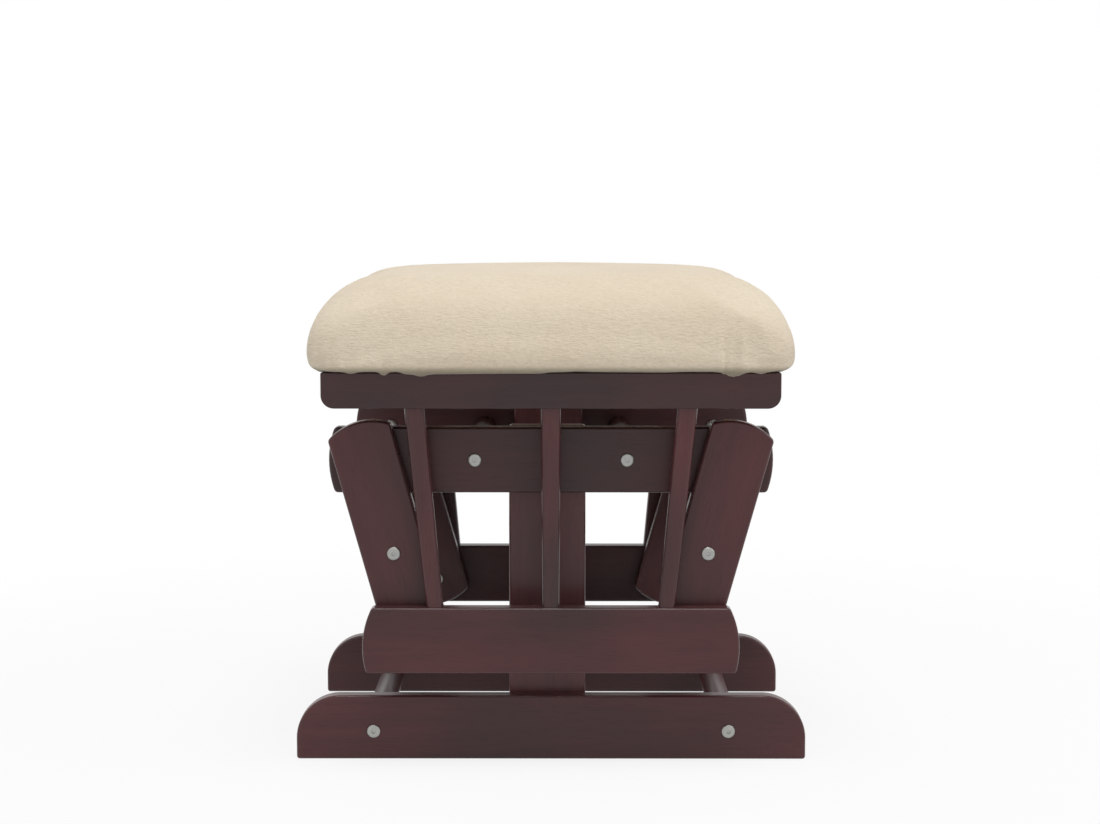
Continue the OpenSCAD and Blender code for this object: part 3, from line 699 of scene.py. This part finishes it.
def bolts(node, head_outside):
    """Every bolt of a node, each with its head on the outer or the inner side."""
    whole = bmesh.new()
    for low, high in solids_of(node):
        side = 1 if low.y + high.y > 0 else -1
        outer = high.y if side > 0 else low.y
        inner = low.y if side > 0 else high.y
        head_end = outer if head_outside else inner
        along = -side if head_outside else side
        seat = head_end + along * HEAD_HEIGHT
        centre = (low + high) / 2
        one = bolt_shape(high.y - low.y - HEAD_HEIGHT)
        one.transform(Matrix.Translation((centre.x, seat, centre.z))
                      @ Matrix.Rotation(math.radians(-90 * along), 4, "X"))
        take_in(whole, one)
    flat_faced(finished(node + "_domed", whole, ZINC, node))


def smooth_share(value):
    """A share from 0 to 1 that starts and ends gently."""
    value = min(1.0, max(0.0, value))
    return value * value * (3 - 2 * value)


def outline_point(u, v, half, radius):
    """A point of the cushion's outline, from a point of the unit square's edge."""
    x, y = u * half.x, v * half.y
    core = half - Vector((radius, radius))
    dx, dy = abs(x) - core.x, abs(y) - core.y
    if dx > 0 and dy > 0:
        angle = math.atan2(dy, dx)
        return Vector((math.copysign(core.x + radius * math.cos(angle), x),
                       math.copysign(core.y + radius * math.sin(angle), y)))
    if dx > 0:
        drawn = DRAWN_IN.x * (1 - (y / core.y) ** 2)
        return Vector((math.copysign(half.x - drawn, x), y))
    drawn = DRAWN_IN.y * (1 - (x / core.x) ** 2)
    return Vector((x, math.copysign(half.y - drawn, y)))


def corner_radius(share):
    """The corners grow rounder from the belly up to the crown."""
    rounder = smooth_share((1 - share) / CORNER_CHANGE)
    return CORNER_RADIUS + (CROWN_CORNER_RADIUS - CORNER_RADIUS) * rounder


def towards(values, u, sideways):
    """A value for a direction, between those of a side and of the end that it leans to."""
    end = values["front"] if u > 0 else values["rear"]
    return values["side"] * sideways + end * (1 - sideways)


def crown_height(share, belly, fullness):
    """Height of the cushion over its seat, by the share of the way out from its middle."""
    dome = 1 - CROWN_DOME * share ** CROWN_DOME_POWER
    shoulder = max(0.0, 1 - share ** CROWN_POWER) ** fullness
    return belly + (CUSHION_HEIGHT - belly) * dome * shoulder


def cushion_form(base, outside, height_share):
    """A cube whose faces are laid over the cushion's crown, sides and hem."""
    bm = bmesh.new()
    bmesh.ops.create_cube(bm, size=2.0)
    bmesh.ops.subdivide_edges(bm, edges=bm.edges, cuts=FORM_CUTS, use_grid_fill=True)
    for vert in bm.verts:
        u, v, w = vert.co
        ring = max(abs(u), abs(v))
        lean = SIDE_TO_END_CHANGE * (abs(v) - abs(u)) / ring if ring > 0 else 0.0
        sideways = smooth_share(0.5 + lean)
        belly = towards(BELLY_HEIGHT, u, sideways)
        fullness = towards(CROWN_FULLNESS, u, sideways)
        share, drawn, inset = 1.0, 1.0, 0.0
        if w > FORM_FACE:
            share = drawn = ring * TOP_SHARE
            level = crown_height(share, belly, fullness)
        elif w < -FORM_FACE:
            drawn, inset = ring, 1.0
            level = 0
        elif w > FORM_BELLY:
            climb = (w - FORM_BELLY) / (1 - FORM_BELLY)
            share = drawn = 1 - (1 - TOP_SHARE) * climb ** 2
            level = crown_height(share, belly, fullness)
        else:
            turn = (w + 1) / (FORM_BELLY + 1) * math.radians(90)
            inset = 1 - math.sin(turn)
            level = belly * (1 - math.cos(turn))
        spot = Vector((0, 0))
        if ring > 0:
            edge = outline_point(u / ring, v / ring, outside, corner_radius(share))
            spot = Vector([edge[i] * drawn * (1 - inset * HEM_INSET[i] / outside[i])
                           for i in range(2)])
        vert.co = Vector((spot.x, spot.y, base + level * height_share))
    return bm


def evaluated_mesh(made):
    """The mesh of an object as its modifiers leave it."""
    depsgraph = bpy.context.evaluated_depsgraph_get()
    return bpy.data.meshes.new_from_object(made.evaluated_get(depsgraph))


def swollen(mesh, base):
    """The skin blown up by its padding for a few millimetres, held at its underside."""
    pad = placed("cushion_swelling", mesh)
    start = [v.co.copy() for v in mesh.vertices]
    held = pad.vertex_groups.new(name="underside")
    held.add([v.index for v in mesh.vertices if v.co.z < base + PIN_HEIGHT], 1.0, "REPLACE")
    cloth = pad.modifiers.new("swelling", "CLOTH")
    cloth.settings.use_pressure = True
    cloth.settings.uniform_pressure_force = SWELL_PRESSURE
    cloth.settings.vertex_group_mass = held.name
    cloth.settings.effector_weights.gravity = 0
    scene = bpy.context.scene
    for moment in range(1, SWELL_FRAMES + 1):
        scene.frame_set(moment)
    blown = evaluated_mesh(pad)
    for vert, moved, first in zip(mesh.vertices, blown.vertices, start):
        step = moved.co - first
        if step.length > SWELL_LIMIT:
            step *= SWELL_LIMIT / step.length
        vert.co = first + step
    pad.modifiers.clear()
    scene.frame_set(1)
    bpy.data.meshes.remove(blown)
    bpy.data.objects.remove(pad)


def fitted(mesh, base):
    """The skin brought back to the cushion's own length, width and height."""
    reach = [max(abs(v.co[i]) for v in mesh.vertices) for i in range(2)]
    top = max(v.co.z for v in mesh.vertices) - base
    grow = Vector((CUSHION_OUTSIDE.x / reach[0], CUSHION_OUTSIDE.y / reach[1],
                   CUSHION_HEIGHT / top))
    for vert in mesh.vertices:
        level = (vert.co.z - base) * grow.z
        vert.co = Vector((vert.co.x * grow.x, vert.co.y * grow.y, base + level))


def hem_side(spot, outside):
    """The side that a point of the hem is on, its place along it, and the way out of it."""
    if abs(spot.y) / outside.y > abs(spot.x) / outside.x:
        right = spot.y < 0
        name = "right" if right else "left"
        return name, spot.x if right else -spot.x, Vector((0, -1 if right else 1, 0))
    front = spot.x > 0
    name = "front" if front else "rear"
    return name, spot.y if front else -spot.y, Vector((1 if front else -1, 0, 0))


def hem_drop(along):
    """How far the cover hangs over a rail's edge at a place along the side."""
    for (low, low_drop), (high, high_drop) in zip(HEM_DROPS, HEM_DROPS[1:]):
        if low <= along <= high:
            between = smooth_share((along - low) / (high - low))
            return low_drop + (high_drop - low_drop) * between
    return 0.0


def gathered(bm, base, outside):
    """The hem hangs over the rails' edges and is gathered near the corners."""
    bm.normal_update()
    hem = outside - HEM_INSET - DRAWN_IN
    moves = {}
    for vert in bm.verts:
        above = vert.co.z - base
        if above > GATHER_TOP:
            continue
        side, along, out = hem_side(vert.co, outside)
        over_rail = side in ("right", "left")
        drop = hem_drop(along) if over_rail else 0.0
        sink = 0.0
        for place, kind in SIDE_GATHERS[side]:
            gather = GATHER_KINDS[kind]
            away = (along - place) / gather["half_width"]
            if abs(away) > GATHER_SPREAD:
                continue
            bell = math.exp(-away * away)
            drop += gather["drop"] * bell
            climb = max(0.0, above) / gather["rise"]
            valley = bell - RIDGE_SHARE * math.exp(-(abs(away) - RIDGE_PLACE) ** 2)
            sink += gather["crease"] * valley * (1 - smooth_share(climb))
        low = 1 - smooth_share(above / HEM_ROLL)
        reach = vert.co.dot(out)
        past_hem = (reach - (hem.y if over_rail else hem.x)) / HEM_BAND
        outer = low * smooth_share(past_hem + LINE_LEAD)
        facing_out = smooth_share(vert.normal.dot(out) + FACING_LEAD)
        move = Vector((0, 0, -drop * outer))
        move -= out * sink * facing_out * smooth_share(above / HEM_BAND + HEIGHT_LEAD)
        if over_rail:
            clear = max(0.0, RAIL_FACE - reach) * smooth_share(drop / CLEARING_DROP)
            move += out * clear * outer
        moves[vert] = move
    for vert, move in moves.items():
        vert.co += move


def cushion():
    """The padded seat: its form, evened out, swollen, made finer, fitted and gathered."""
    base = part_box("cushion")[0].z
    outside = CUSHION_OUTSIDE - Vector((SWELL, SWELL))
    height_share = (CUSHION_HEIGHT - SWELL) / CUSHION_HEIGHT
    form = cushion_form(base, outside, height_share)
    draft = placed("cushion_draft", mesh_of("cushion_skin", form))
    skin = draft.modifiers.new("even_skin", "REMESH")
    skin.mode = "VOXEL"
    skin.voxel_size = CUSHION_VOXEL
    even = evaluated_mesh(draft)
    bpy.data.objects.remove(draft)
    swollen(even, base)
    draft = placed("cushion_draft", even)
    finer = draft.modifiers.new("finer", "SUBSURF")
    finer.levels = 1
    finer.render_levels = 1
    fine = evaluated_mesh(draft)
    bpy.data.objects.remove(draft)
    fitted(fine, base)
    bm = bmesh.new()
    bm.from_mesh(fine)
    gathered(bm, base, CUSHION_OUTSIDE)
    piece = finished("cushion_pad", bm, FABRIC, "cushion", CUSHION_SHARP_ANGLE)


def camera():
    """The photograph's camera."""
    data = bpy.data.cameras.new("photo_camera")
    data.sensor_width = SENSOR_WIDTH
    data.lens = FOCAL_PIXELS * SENSOR_WIDTH / PHOTO_WIDTH
    data.dof.use_dof = False
    made = placed("photo_camera", data)
    made.location = CAMERA_PLACE
    made.rotation_euler = (math.radians(90 - CAMERA_PITCH), 0, math.radians(CAMERA_YAW))
    bpy.context.scene.camera = made


def seen_directly(tree):
    """1 for rays from the camera, and for those that metal and lacquer reflect."""
    rays = joined("ShaderNodeLightPath", tree).outputs
    either = maths(tree, "MAXIMUM", rays["Is Camera Ray"], rays["Is Glossy Ray"])
    return maths(tree, "MAXIMUM", either, rays["Is Transmission Ray"])


def pale_floor():
    """Matt floor that keeps the object's shadow near it, and turns white further off."""
    material = bpy.data.materials.new("pale_floor")
    material.use_nodes = True
    tree = material.node_tree
    tree.nodes.clear()
    matt = joined("ShaderNodeBsdfDiffuse", tree, Color=FLOOR_COLOUR)
    glow = joined("ShaderNodeEmission", tree, Color=(1, 1, 1, 1), Strength=1.0)
    distance = joined("ShaderNodeVectorMath", tree, {"operation": "LENGTH"})
    tree.links.new(object_place(tree), distance.inputs[0])
    near, far = FLOOR_SHADE_REACH
    whiteness = joined("ShaderNodeMapRange", tree, {"interpolation_type": "SMOOTHSTEP"},
                       Value=distance.outputs["Value"], From_Min=near, From_Max=far,
                       To_Min=FLOOR_WHITE_SHARE, To_Max=1.0)
    share = maths(tree, "MULTIPLY", seen_directly(tree), whiteness.outputs["Result"])
    mix = joined("ShaderNodeMixShader", tree, Fac=share)
    tree.links.new(matt.outputs[0], mix.inputs[1])
    tree.links.new(glow.outputs[0], mix.inputs[2])
    joined("ShaderNodeOutputMaterial", tree, Surface=mix.outputs[0])
    return material


def floor():
    """The floor, which is only part of the stage."""
    bm = bmesh.new()
    bmesh.ops.create_grid(bm, x_segments=2, y_segments=2, size=FLOOR_SIZE / 2)
    mesh = mesh_of("floor", bm)
    mesh.materials.append(pale_floor())
    made = placed("floor", mesh)


def lights():
    """The lamps, and a world whose white doesn't add to the light on the object."""
    for name, lamp in LAMPS.items():
        data = bpy.data.lights.new(name, "AREA")
        data.shape = "SQUARE"
        data.size = lamp["size"]
        data.energy = lamp["power"]
        made = placed(name, data)
        made.location = lamp["place"]
        aim = LAMP_TARGET - Vector(lamp["place"])
        made.rotation_euler = aim.to_track_quat("-Z", "Y").to_euler()
    world = bpy.data.worlds.new("studio")
    bpy.context.scene.world = world
    world.use_nodes = True
    tree = world.node_tree
    tree.nodes.clear()
    strength = maths(tree, "MULTIPLY_ADD", seen_directly(tree), 1 - AMBIENT, AMBIENT)
    sky = joined("ShaderNodeBackground", tree, Color=(1, 1, 1, 1), Strength=strength)
    joined("ShaderNodeOutputWorld", tree, Surface=sky.outputs[0])
    bpy.context.scene.view_settings.view_transform = "Standard"


camera()
floor()
lights()

for side in ("right", "left"):
    eased_board(f"{side}_floor_rail", "floor_rails")
    eased_board(f"{side}_crossbeam", "level")
    # The top rails' stain carries a painted shade for the cushion's shadow
    eased_board(f"{side}_top_rail", "level_painted_shade", TOP_RAIL_EASING)
    eased_board(f"{side}_lower_rail", "level_redder")
    # The post boards' stain carries painted light against the shade behind the lower rails
    eased_board(f"{side}_post", "posts")
    for end in ("rear", "front"):
        eased_board(f"{side}_{end}_arm", f"{end}_arm")
    for place in ("rear", "middle", "front"):
        eased_spindle(f"{side}_{place}_spindle")
    repaint(f"{side}_post_dowels", DOWEL_WOOD)
for end in ("rear", "front"):
    eased_cross_rail(f"{end}_cross_rail")
    for part in ("lower_stretcher", "upper_stretcher", "arm_tie"):
        round_bar(f"{end}_{part}")
    bolts(f"{end}_tie_bolts", head_outside=True)
    bolts(f"{end}_hanger_bolts", head_outside=False)
    bolts(f"{end}_rail_bolts", head_outside=False)
    repaint(f"{end}_tie_inserts", INSERT_STEEL)
    repaint(f"{end}_hanger_inserts", INSERT_STEEL)
    repaint(f"{end}_arm_bushes", NYLON)
bolts("floor_rail_bolts", head_outside=True)
bolts("crossbeam_bolts", head_outside=True)
repaint("stretcher_inserts", INSERT_STEEL)
repaint("rear_rail_inserts", INSERT_STEEL)
repaint("crossbeam_bushes", NYLON)
repaint("cross_rail_dowels", DOWEL_WOOD)
repaint("panel_screws", ZINC)
repaint("seat_panel", PLY_WOOD)
cushion()
